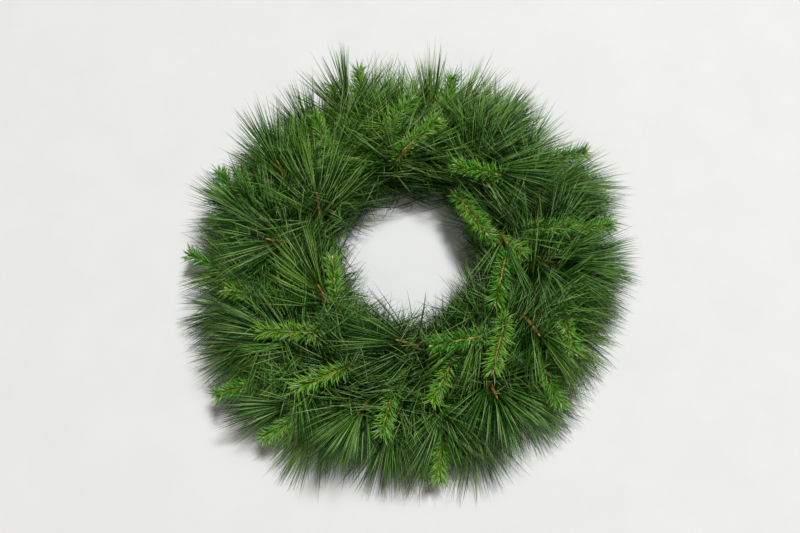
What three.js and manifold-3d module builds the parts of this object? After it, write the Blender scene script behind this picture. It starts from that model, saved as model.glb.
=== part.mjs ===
// A fresh evergreen wreath, 62 cm across its needle tips, lying face up on a table.
// Long-needled pine sprays and short-needled fir sprigs lie on a raised wire frame,
// and one binding wire wound round the frame's two rails holds their stems down.
// Millimetres and degrees, +Z up. The origin is the ring's centre, at the height of the table.
import * as THREE from 'three';
import { mergeVertices } from 'three/addons/utils/BufferGeometryUtils.js';
import Module from 'manifold-3d';

const wasm = await Module();
wasm.setup();

// ---------------------------------------------------------------- driving dimensions
const TIP_RADIUS = 312; // the furthest needle tip from the ring's centre
const HOLE_RADIUS = 72; // no needle comes nearer to the centre
const TOP_HEIGHT = 132;
const OPENING_HALF = 50; // half of the square opening that every branch lies to one side of
const FLOOR_GAP = 1.5; // needles stay this far above the table

const FRAME_WIRE = 2; // from the wire's middle to its corners
const FRAME_SIDES = 4;
const FRAME_FEET = [132, 214]; // radii of the two rings that stand on the table
const FRAME_RAILS = [158, 190]; // radii of the two raised rings that carry the stems
const RAIL_HEIGHT = 12; // from the feet's middle to the rails' middle
const CROSS_BARS = 6;
const FIRST_BAR = 3; // degrees from +X, between two turns of the binding
const BAR_HALF = 1.3; // half a cross-bar's thickness
const BAR_DROP = 0.8; // how far the bars' middle lies below the rails' middle
const BAR_LEAN = 6; // how far a bar's leg leans in from its foot
const RING_STEPS = 32;

const BINDING = { radius: 0.8, sides: 3, turns: 29.6, steps: 6, halfWidth: 28, halfHeight: 11.5 };

const CLEARANCE = 0.4; // air between two pieces that nearly touch
const STEM = { cut: 2.7, base: 2.3, end: 1.7, sides: 4, bendSteps: 4, twigSteps: 3, fork: 2 };
const BEND_EASE = 0.35; // how straight a stem leaves the rails and meets its shoot, of the way between
const STEM_OVERHANG = 12; // how far a stem lies past each rail

const PINE = { shoot: 22, needle: 84, width: 0.75, count: 14, wide: 86, narrow: 12, ahead: 0, seed: 11 };
const FIR = { shoot: 56, needle: 19, width: 0.7, count: 11, wide: 66, narrow: 26, ahead: 14, seed: 23 };

// Each row is one branch: the azimuth where its stem lies across the rails, then its shoots.
// A shoot is where its needles begin, as x, y and height, then its heading in plan,
// counterclockwise from +X, and its rise.
const PINE_BRANCHES = [
  [159, [-118, 49, 72, 100, 40], [-112, 52, 28, 257, 2]],
  [116, [-92, 195, 62, 95, 32]],
  [99, [-22, 127, 76, 30, 50], [-48, 110, 30, 212, 2]],
  [56, [84, 120, 74, 335, 30], [76, 143, 58, 50, 22], [46, 112, 30, 167, 2]],
  [32, [164, 99, 55, 0, 18], [194, 92, 24, 25, 1]],
  [15, [113, 29, 72, 280, 46], [112, 44, 30, 122, 2]],
  [8, [172, 2, 58, 346, 18], [214, 18, 24, 5, 1]],
  [332, [145, -82, 72, 296, 32], [114, -46, 30, 77, 2]],
  [339, [200, -78, 28, 330, 2]],
  [316, [88, -88, 68, 235, 36], [46, -110, 30, 32, 2]],
  [275, [6, -116, 72, 180, 44], [-50, -108, 30, 347, 2]],
  [218, [-98, -70, 72, 125, 32], [-112, -38, 30, 302, 2]],
  [224, [-132, -120, 68, 168, 28]],
  [255, [-44, -184, 68, 240, 32]],
  [237, [-126, -189, 55, 195, 18]],
  [284, [42, -188, 50, 262, 18]],
  [302, [98, -158, 72, 288, 36]],
  [291, [80, -198, 24, 280, 1]],
  [266, [-20, -213, 24, 258, 1]],
  [243, [-96, -192, 24, 236, 1]],
  [200, [-205, -66, 28, 192, 1]],
  [213, [-180, -118, 45, 206, 12], [-166, -138, 24, 218, 1]],
  [183, [-214, -20, 37, 176, 8]],
  [170, [-192, 34, 64, 155, 24]],
  [152, [-166, 92, 72, 115, 36]],
  [146, [-178, 122, 26, 142, 2]],
  [130, [-138, 164, 41, 120, 10]],
  [105, [-57, 208, 30, 102, 4]],
  [75, [58, 210, 41, 75, 12]],
  [59, [104, 186, 39, 62, 10], [146, 160, 26, 44, 2]],
  [86, [18, 192, 62, 76, 20]],
  [177, [-156, 6, 78, 190, 40]],
  [309, [136, -166, 26, 308, 2]],
];

// For a fir shoot the place is that of its furthest needles.
const FIR_BRANCHES = [
  [110, [0, 224, 84, 55, 10]],
  [93, [36, 184, 100, 42, 14]],
  [134, [-138, 194, 86, 112, 14], [-118, 254, 66, 102, 8]],
  [164, [-266, 122, 50, 128, 4], [-230, 116, 76, 110, 12]],
  [188, [-298, 4, 38, 160, 3]],
  [39, [234, 156, 68, 12, 8]],
  [11, [268, 60, 50, 10, 4], [216, 42, 82, 2, 12]],
  [44, [38, 108, 108, 176, 14]],
  [51, [98, 14, 90, 302, 14]],
  [227, [-98, -4, 88, 98, 12]],
  [35, [146, -2, 84, 328, 16]],
  [356, [99, -80, 98, 258, 10]],
  [321, [95, -162, 104, 256, 12]],
  [299, [16, -128, 108, 196, 12]],
  [296, [26, -196, 88, 246, 10]],
  [248, [-138, -182, 94, 206, 10]],
  [230, [-238, -188, 50, 204, 4]],
  [251, [-176, -238, 46, 218, 4]],
  [263, [-29, -236, 84, 258, 12]],
  [326, [184, -192, 74, 290, 8]],
  [344, [202, -130, 76, 284, 12]],
  [207, [-185, -114, 100, 184, 14], [-235, -54, 78, 170, 10]],
  [82, [-85, 286, 56, 100, 5]],
  [63, [50, 280, 54, 80, 4]],
  [279, [41, -280, 44, 266, 3]],
];

// ---------------------------------------------------------------- small helpers
const { degToRad, lerp, clamp } = THREE.MathUtils;

function polar(azimuth, radius, z) {
  const a = degToRad(azimuth);
  return new THREE.Vector3(radius * Math.cos(a), radius * Math.sin(a), z);
}

function headingOf(heading, rise) {
  const tilt = degToRad(rise);
  return polar(heading, Math.cos(tilt), Math.sin(tilt));
}

function randomFrom(seed) {
  let state = seed;
  return () => {
    state = (state + 0x6d2b79f5) | 0;
    let t = Math.imul(state ^ (state >>> 15), 1 | state);
    t = (t + Math.imul(t ^ (t >>> 7), 61 | t)) ^ t;
    return ((t ^ (t >>> 14)) >>> 0) / 2 ** 32;
  };
}

function solidOf(geometry) {
  const bare = new THREE.BufferGeometry();
  bare.setAttribute('position', geometry.getAttribute('position'));
  bare.setIndex(geometry.getIndex());
  const merged = mergeVertices(bare, 1e-4);
  return new wasm.Manifold(new wasm.Mesh({
    numProp: 3,
    vertProperties: new Float32Array(merged.attributes.position.array),
    triVerts: new Uint32Array(merged.index.array),
  }));
}

function geometryOf(solid) {
  const mesh = solid.getMesh();
  const geometry = new THREE.BufferGeometry();
  geometry.setAttribute('position', new THREE.BufferAttribute(mesh.vertProperties, 3));
  geometry.setIndex(new THREE.BufferAttribute(mesh.triVerts, 1));
  geometry.computeVertexNormals();
  return geometry;
}

function joined(solids) {
  return solids.reduce((sum, solid) => sum.add(solid));
}

// A run of corners with the direction at each, so that a rod bends exactly there.
class Run extends THREE.Curve {
  constructor(points, directions) {
    super();
    Object.assign(this, { points, directions });
  }

  corner(u) {
    return Math.round(u * (this.points.length - 1));
  }

  getPointAt(u) {
    return this.points[this.corner(u)].clone();
  }

  getTangentAt(u) {
    return this.directions[this.corner(u)].clone();
  }

  static along(pieces) {
    const points = [];
    const directions = [];
    for (const [curve, steps] of pieces) {
      for (let k = points.length ? 1 : 0; k <= steps; k++) {
        points.push(curve.getPoint(k / steps));
        directions.push(curve.getTangent(k / steps));
      }
    }
    return new Run(points, directions);
  }
}

// A cylinder bent along a run, with its own radius at each corner.
function rod(run, radii, sides) {
  const steps = run.points.length - 1;
  const geometry = new THREE.CylinderGeometry(1, 1, 1, sides, steps);
  const frames = run.computeFrenetFrames(steps, false);
  const position = geometry.getAttribute('position');
  for (let i = 0; i < position.count; i++) {
    const k = Math.round((position.getY(i) + 0.5) * steps);
    const place = run.points[k].clone();
    place.addScaledVector(frames.normals[k], position.getX(i) * radii[k]);
    place.addScaledVector(frames.binormals[k], -position.getZ(i) * radii[k]);
    position.setXYZ(i, place.x, place.y, place.z);
  }
  return { solid: solidOf(geometry), lastNormal: frames.normals[steps] };
}

// ---------------------------------------------------------------- air between thin pieces
// Every wire, stem and needle is kept here as tapered segments, so that each new one can be
// laid clear of those before it.
const laid = [];

function segment(owner, from, to, firstRadius, lastRadius, needle = false) {
  const span = to.clone().sub(from);
  const middle = from.clone().addScaledVector(span, 0.5);
  return { owner, from, span, firstRadius, lastRadius, middle, half: span.length() / 2, needle };
}

function segmentsAlong(owner, points, radii) {
  return points.slice(1).map((point, k) => segment(owner, points[k], point, radii[k], radii[k + 1]));
}

// How far along each of two segments they come closest, and how close.
function closest(one, two) {
  const between = one.from.clone().sub(two.from);
  const a = one.span.lengthSq();
  const b = one.span.dot(two.span);
  const c = two.span.lengthSq();
  const d = one.span.dot(between);
  const e = two.span.dot(between);
  const spread = a * c - b * b;
  let s = spread > 1e-9 ? clamp((b * e - c * d) / spread, 0, 1) : 0;
  const t = clamp((b * s + e) / c, 0, 1);
  s = clamp((b * t - d) / a, 0, 1);
  const gap = between.addScaledVector(one.span, s).addScaledVector(two.span, -t).length();
  return { s, t, gap };
}

// Needles of one branch meet at their roots, so they are compared only past this share.
const ROOT_SHARE = 0.3;

function areClear(one, two) {
  const own = one.owner === two.owner;
  if (own && !(one.needle && two.needle)) return true;
  const thickest = 2 * STEM.cut + CLEARANCE;
  if (one.middle.distanceTo(two.middle) > one.half + two.half + thickest) return true;
  const { s, t, gap } = closest(one, two);
  if (own && s < ROOT_SHARE && t < ROOT_SHARE) return true;
  const radii = lerp(one.firstRadius, one.lastRadius, s) + lerp(two.firstRadius, two.lastRadius, t);
  return gap > radii + CLEARANCE;
}

const isClear = (one) => laid.every((two) => areClear(one, two));

// ---------------------------------------------------------------- wire frame
const wreath = new THREE.Group();
const FRAME_FLAT = FRAME_WIRE * Math.cos(Math.PI / FRAME_SIDES); // the wire's middle to its flat sides
const RAIL_Z = FRAME_FLAT + RAIL_HEIGHT;

function addNode(name, solid, material) {
  const mesh = new THREE.Mesh(geometryOf(solid), material);
  mesh.name = name;
  wreath.add(mesh);
}

function ringOf(radius, height) {
  const profile = [];
  for (let k = 0; k <= FRAME_SIDES; k++) {
    const a = (Math.PI * (2 * k + 1)) / FRAME_SIDES;
    profile.push(new THREE.Vector2(radius + FRAME_WIRE * Math.cos(a), height + FRAME_WIRE * Math.sin(a)));
  }
  const ring = new THREE.LatheGeometry(profile, RING_STEPS).rotateX(Math.PI / 2);
  const points = [];
  for (let k = 0; k <= RING_STEPS; k++) {
    points.push(polar((360 * k) / RING_STEPS, radius, height));
  }
  laid.push(...segmentsAlong('frame', points, points.map(() => FRAME_WIRE)));
  return solidOf(ring);
}

// A bent bar from foot to foot, just under the tops of the rails.
function crossBar(azimuth) {
  const [inner, outer] = FRAME_FEET;
  const top = RAIL_Z - BAR_DROP;
  const radii = [inner, inner + BAR_LEAN, outer - BAR_LEAN, outer];
  const heights = [FRAME_FLAT, top, top, FRAME_FLAT];
  const outsides = [-BAR_HALF, -BAR_HALF, BAR_HALF, BAR_HALF];
  const raised = [0, BAR_HALF, BAR_HALF, 0];
  const over = radii.map((radius, k) => new THREE.Vector2(radius + outsides[k], heights[k] + raised[k]));
  const under = radii.map((radius, k) => new THREE.Vector2(radius - outsides[k], heights[k] - raised[k]));
  const side = new THREE.Shape([...over, ...under.reverse()]);
  const bar = new THREE.ExtrudeGeometry(side, { depth: 2 * BAR_HALF, bevelEnabled: false });
  bar.translate(0, 0, -BAR_HALF).rotateX(Math.PI / 2).rotateZ(degToRad(azimuth));
  const points = radii.map((radius, k) => polar(azimuth, radius, heights[k]));
  laid.push(...segmentsAlong('frame', points, points.map(() => FRAME_WIRE)));
  return solidOf(bar);
}

function wireFrame() {
  const feet = FRAME_FEET.map((radius) => ringOf(radius, FRAME_FLAT));
  const rails = FRAME_RAILS.map((radius) => ringOf(radius, RAIL_Z));
  const bars = [];
  for (let k = 0; k < CROSS_BARS; k++) {
    bars.push(crossBar(FIRST_BAR + (360 * k) / CROSS_BARS));
  }
  return joined([...feet, ...rails, ...bars]);
}

// ---------------------------------------------------------------- binding wire
// The middle of a stem that lies on the rails, and the middle of the winding round both.
const SEAT_Z = RAIL_Z + FRAME_WIRE + STEM.cut + 1.1 * CLEARANCE;
const BINDING_Z = (RAIL_Z - FRAME_WIRE + SEAT_Z + STEM.cut) / 2;

// An oval helix that goes round both rails and the stems on them.
class Winding extends THREE.Curve {
  getPoint(t, target = new THREE.Vector3()) {
    const turn = 2 * Math.PI * BINDING.turns * t;
    const azimuth = (360 * BINDING.turns * t) / Math.ceil(BINDING.turns);
    const middle = (FRAME_RAILS[0] + FRAME_RAILS[1]) / 2;
    const radius = middle + BINDING.halfWidth * Math.cos(turn);
    return target.copy(polar(azimuth, radius, BINDING_Z + BINDING.halfHeight * Math.sin(turn)));
  }
}

function bindingWire() {
  const run = Run.along([[new Winding(), Math.round(BINDING.turns * BINDING.steps)]]);
  const radii = run.points.map(() => BINDING.radius);
  laid.push(...segmentsAlong('binding', run.points, radii));
  return rod(run, radii, BINDING.sides).solid;
}

// ---------------------------------------------------------------- branches
function shootOf([x, y, z, heading, rise], kind) {
  const along = headingOf(heading, rise);
  const base = new THREE.Vector3(x, y, z);
  if (kind.ahead) base.addScaledVector(along, -(kind.shoot + kind.ahead));
  const end = base.clone().addScaledVector(along, kind.shoot);
  return { base, along, end };
}

// A stem from its cut end across both rails, then in a bend to its shoot and along that.
// It leaves the frame on the side that its shoot is on.
function stemRun(shoot, azimuth) {
  const outward = Math.hypot(shoot.base.x, shoot.base.y) > (FRAME_RAILS[0] + FRAME_RAILS[1]) / 2;
  const ends = [FRAME_RAILS[0] - STEM_OVERHANG, FRAME_RAILS[1] + STEM_OVERHANG];
  if (!outward) ends.reverse();
  const [cut, edge] = ends.map((radius) => polar(azimuth, radius, SEAT_Z));
  const ease = BEND_EASE * edge.distanceTo(shoot.base);
  const onward = edge.clone().addScaledVector(edge.clone().sub(cut).normalize(), ease);
  const approach = shoot.base.clone().addScaledVector(shoot.along, -ease);
  return Run.along([
    [new THREE.LineCurve3(cut, edge), 1],
    [new THREE.CubicBezierCurve3(edge, onward, approach, shoot.base), STEM.bendSteps],
    [new THREE.LineCurve3(shoot.base, shoot.end), 1],
  ]);
}

// A side shoot's twig forks off the stem's bend.
function twigRun(shoot, stem) {
  const fork = stem.points[STEM.fork];
  const ease = BEND_EASE * fork.distanceTo(shoot.base);
  const approach = shoot.base.clone().addScaledVector(shoot.along, -ease);
  return Run.along([
    [new THREE.QuadraticBezierCurve3(fork, approach, shoot.base), STEM.twigSteps],
    [new THREE.LineCurve3(shoot.base, shoot.end), 1],
  ]);
}

// Even from the cut end to the shoot's base, then down to the thinner tip.
function radiiOf(run, first) {
  const last = run.points.length - 1;
  const radii = run.points.map((point, k) => lerp(first, STEM.base, Math.min(1, k / (last - 1))));
  radii[last] = STEM.end;
  return radii;
}

function layRun(name, shoot, run, first) {
  const radii = radiiOf(run, first);
  const parts = segmentsAlong(name, run.points, radii);
  if (!parts.every(isClear)) throw new Error(`${name} crosses a neighbour`);
  laid.push(...parts);
  const { solid, lastNormal } = rod(run, radii, STEM.sides);
  return { run, solid, shoot: { ...shoot, side: lastNormal } };
}

// The direction in which a branch's shoots lie furthest past the square opening in the
// middle of the ring, and how far the opening itself reaches that way.
function sideOfOpening(shoots, kind) {
  const points = shoots.flatMap(({ base, along, end }) => {
    return [base, end.clone().addScaledVector(along, kind.needle)];
  });
  let best = { room: -Infinity };
  for (let azimuth = 0; azimuth < 360; azimuth += 5) {
    const facing = polar(azimuth, 1, 0);
    const reach = OPENING_HALF * (Math.abs(facing.x) + Math.abs(facing.y));
    const room = Math.min(...points.map((point) => point.dot(facing))) - reach;
    if (room > best.room) best = { facing, reach, room };
  }
  return best;
}

function layBranch(name, [seat, ...rows], kind) {
  const [first, ...others] = rows.map((row) => shootOf(row, kind));
  const stem = layRun(name, first, stemRun(first, seat), STEM.cut);
  const twigs = others.map((other) => layRun(name, other, twigRun(other, stem.run), STEM.end));
  const parts = [stem, ...twigs];
  const shoots = parts.map((part) => part.shoot);
  return { name, kind, shoots, side: sideOfOpening(shoots, kind), solids: parts.map((part) => part.solid) };
}

// ---------------------------------------------------------------- needles
const GOLDEN_TURN = 180 * (3 - Math.sqrt(5));
const UP = new THREE.Vector3(0, 1, 0);

function staysInside(point, { facing, reach }) {
  const radius = Math.hypot(point.x, point.y);
  if (radius < HOLE_RADIUS || point.dot(facing) < reach) return false;
  return radius < TIP_RADIUS && point.z > FLOOR_GAP && point.z < TOP_HEIGHT;
}

// A needle leaves one of the shoot's four flat sides, well away from their edges.
const SIDE_TURN = 360 / STEM.sides;
const SIDE_SPREAD = 27;

function ontoSide(turn) {
  const side = Math.floor(turn / SIDE_TURN);
  const across = turn / SIDE_TURN - side - 0.5;
  return SIDE_TURN * (side + 0.5) + 2 * SIDE_SPREAD * across;
}

// One needle's root and tip. The needles stand out most at the shoot's base and close
// towards its end, and follow one another round it by the golden angle.
function drawNeedle(shoot, kind, share, turn, closing, random) {
  const along = clamp(share + (random() - 0.5) * 0.1, 0.03, 0.93);
  const root = shoot.base.clone().lerp(shoot.end, along);
  const lean = degToRad(closing * lerp(kind.wide, kind.narrow, along) + (random() - 0.5) * 24);
  const side = shoot.side.clone().applyAxisAngle(shoot.along, degToRad(ontoSide(turn + 50 * random())));
  const way = shoot.along.clone().multiplyScalar(Math.cos(lean)).addScaledVector(side, Math.sin(lean));
  const tip = root.clone().addScaledVector(way, kind.needle * (0.86 + 0.14 * random()));
  return { root, tip };
}

function needleSolid({ root, tip }, width) {
  const way = tip.clone().sub(root);
  const length = way.length();
  const cone = new THREE.ConeGeometry(width, length, 3, 1);
  cone.applyQuaternion(new THREE.Quaternion().setFromUnitVectors(UP, way.divideScalar(length)));
  const middle = root.clone().lerp(tip, 0.5);
  return solidOf(cone.translate(middle.x, middle.y, middle.z));
}

const TRIES = 60;

function growNeedle(branch, shoot, index, random) {
  const { kind, name, side } = branch;
  for (let attempt = 0; attempt < TRIES; attempt++) {
    const turn = index * GOLDEN_TURN + attempt * 5;
    const closing = 1 - (0.85 * attempt) / TRIES;
    const needle = drawNeedle(shoot, kind, (index + 0.5) / kind.count, turn, closing, random);
    const part = segment(name, needle.root, needle.tip, kind.width, 0.1, true);
    if (staysInside(needle.tip, side) && staysInside(part.middle, side) && isClear(part)) {
      laid.push(part);
      branch.solids.push(needleSolid(needle, kind.width));
      return;
    }
  }
}

// The branches take their needles in turns, so that none is crowded out.
function growNeedles(branches, kind) {
  const random = randomFrom(kind.seed);
  for (let index = 0; index < kind.count; index++) {
    for (const branch of branches) {
      for (const shoot of branch.shoots) {
        growNeedle(branch, shoot, index, random);
      }
    }
  }
}

// ---------------------------------------------------------------- the wreath
const frameMaterial = new THREE.MeshStandardMaterial({ color: 0x24402c, roughness: 0.45, metalness: 0.5 });
const bindingMaterial = new THREE.MeshStandardMaterial({ color: 0x33523a, roughness: 0.4, metalness: 0.6 });
const pineMaterial = new THREE.MeshStandardMaterial({ color: 0x46703a, roughness: 0.6 });
const firMaterial = new THREE.MeshStandardMaterial({ color: 0x5a9440, roughness: 0.6 });

const twoDigits = (index) => String(index + 1).padStart(2, '0');

addNode('wire_frame', wireFrame(), frameMaterial);
addNode('binding_wire', bindingWire(), bindingMaterial);

const pines = PINE_BRANCHES.map((rows, k) => layBranch(`pine_spray_${twoDigits(k)}`, rows, PINE));
const firs = FIR_BRANCHES.map((rows, k) => layBranch(`fir_sprig_${twoDigits(k)}`, rows, FIR));
growNeedles(firs, FIR);
growNeedles(pines, PINE);
for (const { name, solids } of pines) {
  addNode(name, joined(solids), pineMaterial);
}
for (const { name, solids } of firs) {
  addNode(name, joined(solids), firMaterial);
}

export default wreath;
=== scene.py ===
# %% [markdown]
# # A fresh evergreen wreath
# This lesson dresses the plain solids of a door wreath so that it looks like a real one:
# long-needled pine sprays and short-needled fir sprigs, bound to a raised wire frame with
# one thin wire. The solids give the sizes and stay the reference. Every length below is
# in metres, Z is up, and the ring's centre is at the origin, on the table.

# %% Load the solids
import math
import random

import bpy
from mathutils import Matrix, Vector


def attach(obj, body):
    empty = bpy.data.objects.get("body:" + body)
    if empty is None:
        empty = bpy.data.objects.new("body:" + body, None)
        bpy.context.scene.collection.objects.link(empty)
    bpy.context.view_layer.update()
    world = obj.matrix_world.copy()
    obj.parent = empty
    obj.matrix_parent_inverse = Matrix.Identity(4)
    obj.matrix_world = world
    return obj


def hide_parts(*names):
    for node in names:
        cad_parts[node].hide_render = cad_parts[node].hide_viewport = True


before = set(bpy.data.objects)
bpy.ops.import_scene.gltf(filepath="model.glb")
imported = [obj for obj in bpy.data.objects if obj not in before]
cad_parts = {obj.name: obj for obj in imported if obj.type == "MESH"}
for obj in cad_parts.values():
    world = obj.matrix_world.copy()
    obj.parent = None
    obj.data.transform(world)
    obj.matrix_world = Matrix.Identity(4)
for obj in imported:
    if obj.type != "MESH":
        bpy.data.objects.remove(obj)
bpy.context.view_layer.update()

# %% [markdown]
# ## The camera
# The photograph looks steeply down on the wreath from about a metre away. A camera is
# fixed by where it stands, where it looks and how long its lens is. The lens is given
# here in pixels of the photograph: something one metre wide and one metre away would be
# that many pixels wide in it. The ring's centre has to land a little right of and above
# the middle of the picture, so the camera looks slightly past it instead of shifting
# its lens.

# %% Place the camera
PICTURE = (800, 533)
RING_CENTRE_PIXEL = (411, 259)
FOCAL_PIXELS = 787
ELEVATION = math.radians(70)
DISTANCE = 1.0
LOOKED_AT = Vector((0, 0, 0.05))

away = Vector((0, -math.cos(ELEVATION), math.sin(ELEVATION)))
right = Vector((1, 0, 0))
up = away.cross(right)
pixel = DISTANCE / FOCAL_PIXELS
past_right = (RING_CENTRE_PIXEL[0] - PICTURE[0] / 2) * pixel
past_up = (PICTURE[1] / 2 - RING_CENTRE_PIXEL[1]) * pixel
aim = LOOKED_AT - right * past_right - up * past_up

lens = bpy.data.cameras.new("camera")
lens.sensor_width = 36
lens.lens = FOCAL_PIXELS / PICTURE[0] * lens.sensor_width
camera = bpy.data.objects.new("camera", lens)
camera.location = LOOKED_AT + away * DISTANCE
camera.rotation_euler = (aim - camera.location).to_track_quat("-Z", "Y").to_euler()
bpy.context.scene.collection.objects.link(camera)
bpy.context.scene.camera = camera
print("lens", round(lens.lens, 1), "mm")

# %% [markdown]
# ## Node trees as function calls
# Everything that repeats on the wreath is made by Geometry Nodes, and every finish by
# shader nodes. Both kinds of tree are easier to read as a chain of calls than as a
# list of nodes and links, so a small class turns a call into a node and its links.

# %% A helper that writes node trees
class Graph:
    """A node tree as calls: graph(kind, {input: value}, out=output, setting=value)."""

    def __init__(self, tree):
        self.tree = tree

    @staticmethod
    def pick(sockets, key):
        shown = [socket for socket in sockets if socket.enabled]
        if isinstance(key, int):
            return shown[key]
        return next(socket for socket in shown if socket.name == key)

    def __call__(self, kind, inputs=None, out=0, **settings):
        node = self.tree.nodes.new(kind)
        for name, value in settings.items():
            setattr(node, name, value)
        for key, value in (inputs or {}).items():
            self.join(value, self.pick(node.inputs, key))
        return self.pick(node.outputs, out) if out is not None else node

    def join(self, value, socket):
        if isinstance(value, bpy.types.NodeSocket):
            self.tree.links.new(value, socket)
        else:
            socket.default_value = value

    def math(self, operation, *values):
        return self("ShaderNodeMath", dict(enumerate(values)), operation=operation)

    def vector(self, operation, *values, out=0):
        return self("ShaderNodeVectorMath", dict(enumerate(values)), out=out,
                    operation=operation)

    def xyz(self, x, y, z):
        return self("ShaderNodeCombineXYZ", {"X": x, "Y": y, "Z": z})

    def part(self, vector, axis):
        return self("ShaderNodeSeparateXYZ", {0: vector}, out=axis)

    def scaled(self, vector, factor):
        out = self.vector("SCALE", vector)
        self.join(factor, self.pick(out.node.inputs, "Scale"))
        return out

    def ranged(self, value, low, high, start=0.0, end=1.0, **settings):
        """Where a value lies from low to high, as a number from start to end."""
        return self("ShaderNodeMapRange", {
            "Value": value, "From Min": low, "From Max": high, "To Min": start, "To Max": end,
        }, **settings)


# %% [markdown]
# ### Growing a piece
# A piece's tree has an input for each size that a maker would want to change. A helper
# object with an empty mesh runs the tree once with the piece's own values, and what
# comes out is kept as a plain mesh, because a finished piece stands without its tree.

# %% Trees with named inputs, and the meshes that they make
SOCKETS = {
    int: "NodeSocketInt",
    float: "NodeSocketFloat",
    bpy.types.Object: "NodeSocketObject",
    bpy.types.Material: "NodeSocketMaterial",
}


def growing_tree(name, inputs):
    """A Geometry Nodes tree with named inputs: (tree, its graph, its inputs by name)."""
    tree = bpy.data.node_groups.new(name, "GeometryNodeTree")
    tree.interface.new_socket("Geometry", in_out="INPUT", socket_type="NodeSocketGeometry")
    tree.interface.new_socket("Geometry", in_out="OUTPUT", socket_type="NodeSocketGeometry")
    for label, value in inputs.items():
        kind = value if isinstance(value, type) else type(value)
        socket = tree.interface.new_socket(label, in_out="INPUT", socket_type=SOCKETS[kind])
        if not isinstance(value, type):
            socket.default_value = value
    given = tree.nodes.new("NodeGroupInput")
    return tree, Graph(tree), {socket.name: socket for socket in given.outputs if socket.name}


def grow(name, tree, values):
    """The plain mesh that a tree makes from these input values."""
    host = bpy.data.objects.new(name + "_host", bpy.data.meshes.new(name + "_host"))
    bpy.context.scene.collection.objects.link(host)
    modifier = host.modifiers.new("grow", "NODES")
    modifier.node_group = tree
    for item in tree.interface.items_tree:
        if item.in_out == "INPUT" and item.name in values:
            modifier[item.identifier] = values[item.name]
    shown = host.evaluated_get(bpy.context.evaluated_depsgraph_get())
    mesh = bpy.data.meshes.new_from_object(shown)
    piece = bpy.data.objects.new(name, mesh)
    bpy.context.scene.collection.objects.link(piece)
    bpy.data.objects.remove(host)
    return piece


# %% [markdown]
# ## Where the branches lie
# These are the wreath's own sizes and its layout, the same as the solids have. Each row
# is one branch: the azimuth where its stem lies across the frame's two rails, and then
# its shoots. A shoot is where its needles begin, in millimetres, then its heading in
# plan, counterclockwise from +X, and its rise, in degrees.

# %% Sizes
MM = 0.001
FRAME_FEET = (132 * MM, 214 * MM)
FRAME_RAILS = (158 * MM, 190 * MM)
FRAME_WIRE = 2 * MM
FRAME_FLAT = FRAME_WIRE * math.cos(math.pi / 4)
FRAME_RISE = 12 * MM
RAIL_Z = FRAME_FLAT + FRAME_RISE
STEM_CUT = 2.7 * MM
STEM_BASE = 2.3 * MM
STEM_END = 1.7 * MM
STEM_OVERHANG = 12 * MM
STEM_CLEARANCE = 0.44 * MM
SEAT_Z = RAIL_Z + FRAME_WIRE + STEM_CUT + STEM_CLEARANCE
BEND_EASE = 0.35
BEND_STEPS = 16
TWIG_STEPS = 10
PINE_SHOOT = 22 * MM
FIR_SHOOT = 56 * MM
FIR_AHEAD = 14 * MM
print("the frame is", round(2 * FRAME_FEET[1] / MM), "mm across")

# %% Pine branches
PINE_BRANCHES = [
    [159, [-118, 49, 72, 100, 40], [-112, 52, 28, 257, 2]],
    [116, [-92, 195, 62, 95, 32]],
    [99, [-22, 127, 76, 30, 50], [-48, 110, 30, 212, 2]],
    [56, [84, 120, 74, 335, 30], [76, 143, 58, 50, 22], [46, 112, 30, 167, 2]],
    [32, [164, 99, 55, 0, 18], [194, 92, 24, 25, 1]],
    [15, [113, 29, 72, 280, 46], [112, 44, 30, 122, 2]],
    [8, [172, 2, 58, 346, 18], [214, 18, 24, 5, 1]],
    [332, [145, -82, 72, 296, 32], [114, -46, 30, 77, 2]],
    [339, [200, -78, 28, 330, 2]],
    [316, [88, -88, 68, 235, 36], [46, -110, 30, 32, 2]],
    [275, [6, -116, 72, 180, 44], [-50, -108, 30, 347, 2]],
    [218, [-98, -70, 72, 125, 32], [-112, -38, 30, 302, 2]],
    [224, [-132, -120, 68, 168, 28]],
    [255, [-44, -184, 68, 240, 32]],
    [237, [-126, -189, 55, 195, 18]],
    [284, [42, -188, 50, 262, 18]],
    [302, [98, -158, 72, 288, 36]],
    [291, [80, -198, 24, 280, 1]],
    [266, [-20, -213, 24, 258, 1]],
    [243, [-96, -192, 24, 236, 1]],
    [200, [-205, -66, 28, 192, 1]],
    [213, [-180, -118, 45, 206, 12], [-166, -138, 24, 218, 1]],
    [183, [-214, -20, 37, 176, 8]],
    [170, [-192, 34, 64, 155, 24]],
    [152, [-166, 92, 72, 115, 36]],
    [146, [-178, 122, 26, 142, 2]],
    [130, [-138, 164, 41, 120, 10]],
    [105, [-57, 208, 30, 102, 4]],
    [75, [58, 210, 41, 75, 12]],
    [59, [104, 186, 39, 62, 10], [146, 160, 26, 44, 2]],
    [86, [18, 192, 62, 76, 20]],
    [177, [-156, 6, 78, 190, 40]],
    [309, [136, -166, 26, 308, 2]],
]
print(len(PINE_BRANCHES), "pine branches")

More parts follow.
